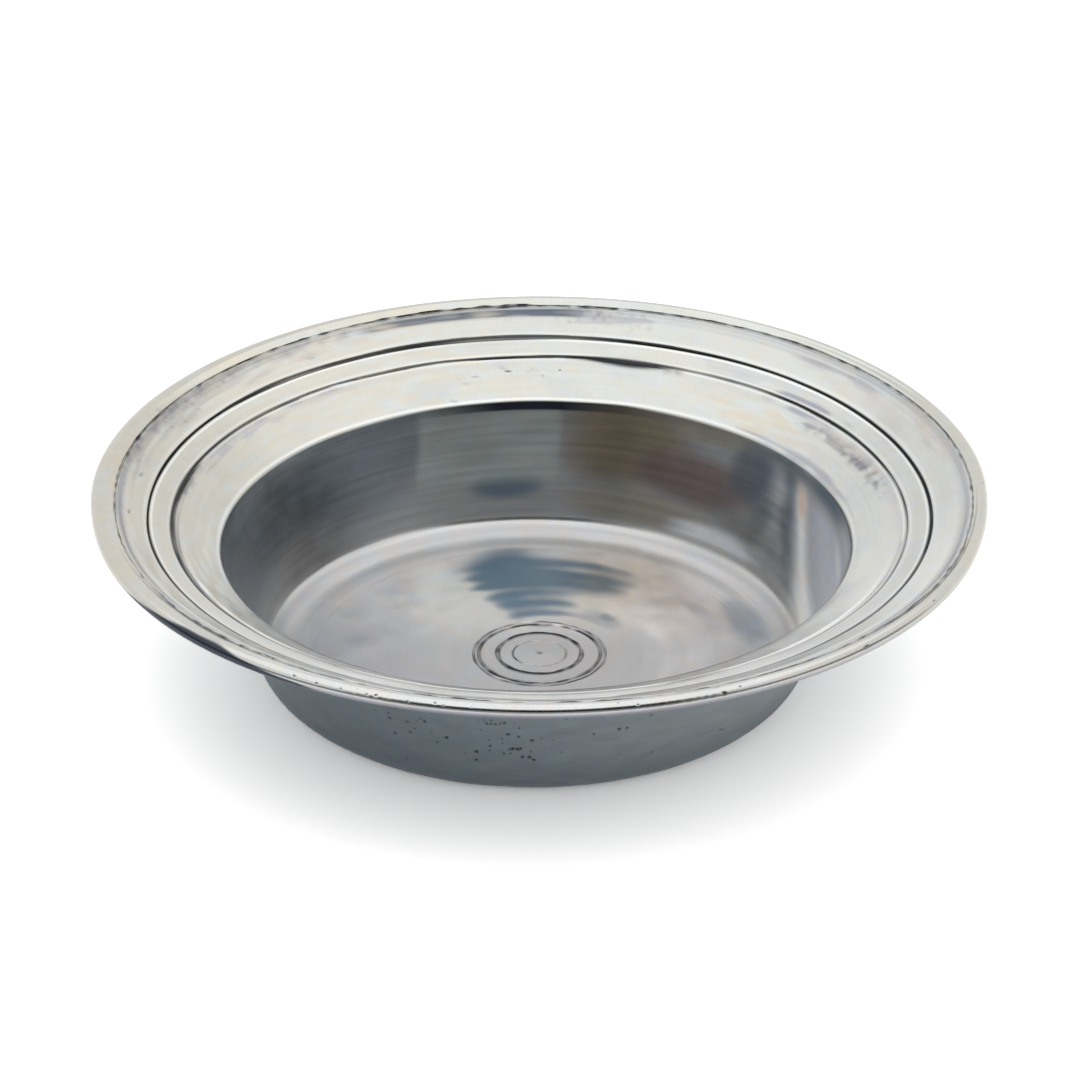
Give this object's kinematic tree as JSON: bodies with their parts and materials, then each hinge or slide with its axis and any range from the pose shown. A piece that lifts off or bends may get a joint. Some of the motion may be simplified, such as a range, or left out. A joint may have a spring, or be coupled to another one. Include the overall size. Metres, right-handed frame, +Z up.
{
  "type": "wide-rimmed bowl",
  "caption": "Round pewter bowl with a deep well, a wide sloping rim with turned grooves, a rounded edge moulding and turned rings in the middle of its floor.",
  "frame": {"origin": "on the turning axis, in the plane that the bowl stands on", "axes": "+Z up along the turning axis; the picture looks along +Y and down"},
  "size_m": [0.3, 0.3, 0.0665],
  "materials": {
    "bead_pewter": "burnished pewter, worn soft",
    "flange_pewter": "satin turned pewter",
    "wall_pewter": "satin pewter, grey with age outside",
    "floor_pewter": "satin turned pewter",
    "plug_pewter": "satin turned pewter",
    "solder": "dull soft solder"
  },
  "bodies": {
    "root": {"edge_bead": "bead_pewter", "rim_flange": "flange_pewter", "well_wall": "wall_pewter", "well_floor": "floor_pewter", "centre_plug": "plug_pewter", "bead_solder": "solder", "lip_solder": "solder", "floor_solder": "solder", "plug_solder": "solder"}
  },
  "joints": []
}
